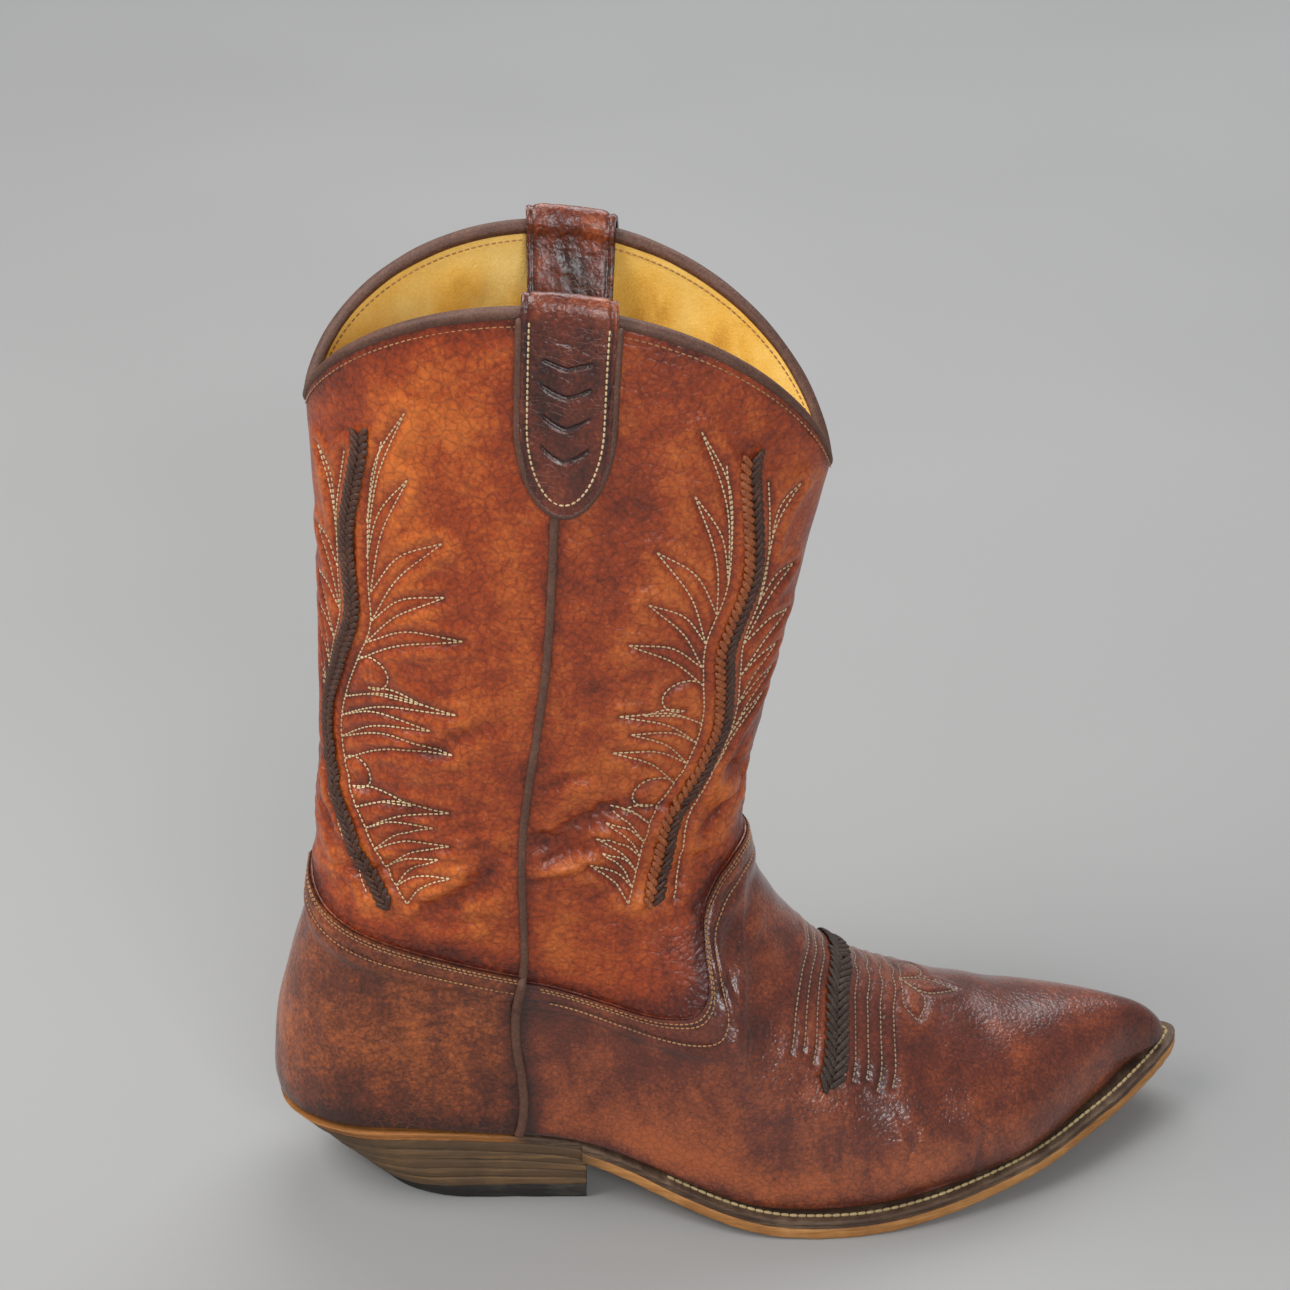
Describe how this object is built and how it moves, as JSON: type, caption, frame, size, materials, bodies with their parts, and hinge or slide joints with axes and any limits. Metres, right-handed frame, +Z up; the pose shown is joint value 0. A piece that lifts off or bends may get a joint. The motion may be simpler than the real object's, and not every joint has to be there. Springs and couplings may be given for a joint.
{
  "type": "cowboy boot",
  "caption": "Mid-height western boot for the right foot, pointed toe, underslung stacked heel, braided and stitched shaft, two pull straps.",
  "frame": {"origin": "centre of the heel's ground face, where the boot stands on its heel", "axes": "+X towards the toe, +Y towards the inner (medial) side of the foot, +Z up"},
  "size_m": [0.3182, 0.1053, 0.3409],
  "materials": {
    "upper_leather": "aniline calf leather, dark mottled cognac, rubbed glossy on the toe",
    "shaft_leather": "pull-up leather, orange tan with fine grain and creases",
    "lining": "smooth golden ochre lining leather",
    "trim": "matte dark brown piping and binding leather",
    "strap": "glossy crackled red-brown leather",
    "braid": "plaited dark brown lace",
    "vamp_braid": "plaited dusty grey-brown lace",
    "sole_edge": "tan outsole leather, edge scuffed",
    "welt": "dark waxed welt leather",
    "rand": "light tan rand leather",
    "heel_stack": "grey-brown stacked leather with tan joints",
    "top_lift": "dark rubber, dusty",
    "thread": "cream waxed thread",
    "stiffener": "pressed leather board",
    "insole": "vegetable-tanned insole leather",
    "filler": "pressed cork",
    "steel": "spring steel and nails"
  },
  "bodies": {
    "root": {"vamp": "upper_leather", "counter": "upper_leather", "shaft_front": "shaft_leather", "shaft_back": "shaft_leather", "shaft_lining_front": "lining", "shaft_lining_back": "lining", "vamp_lining": "lining", "heel_lining": "lining", "heel_stiffener": "stiffener", "toe_puff": "stiffener", "side_seam_piping_lateral": "trim", "side_seam_piping_medial": "trim", "foot_seam_piping_lateral": "trim", "foot_seam_piping_medial": "trim", "back_braid_lateral": "braid", "back_braid_medial": "braid", "front_braid_lateral": "braid", "front_braid_medial": "braid", "vamp_braid": "vamp_braid", "topline_binding_front": "trim", "topline_binding_back": "trim", "pull_strap_lateral": "strap", "pull_strap_medial": "strap", "outsole": "sole_edge", "welt": "welt", "heel_rand": "rand", "insole": "insole", "sock_lining": "lining", "shank": "steel", "bottom_filler": "filler", "heel_nails": "steel", "top_lift": "top_lift", "heel_lift_1": "heel_stack", "heel_lift_2": "heel_stack", "heel_lift_3": "heel_stack", "heel_lift_4": "heel_stack", "welt_stitching": "thread"}
  },
  "joints": []
}
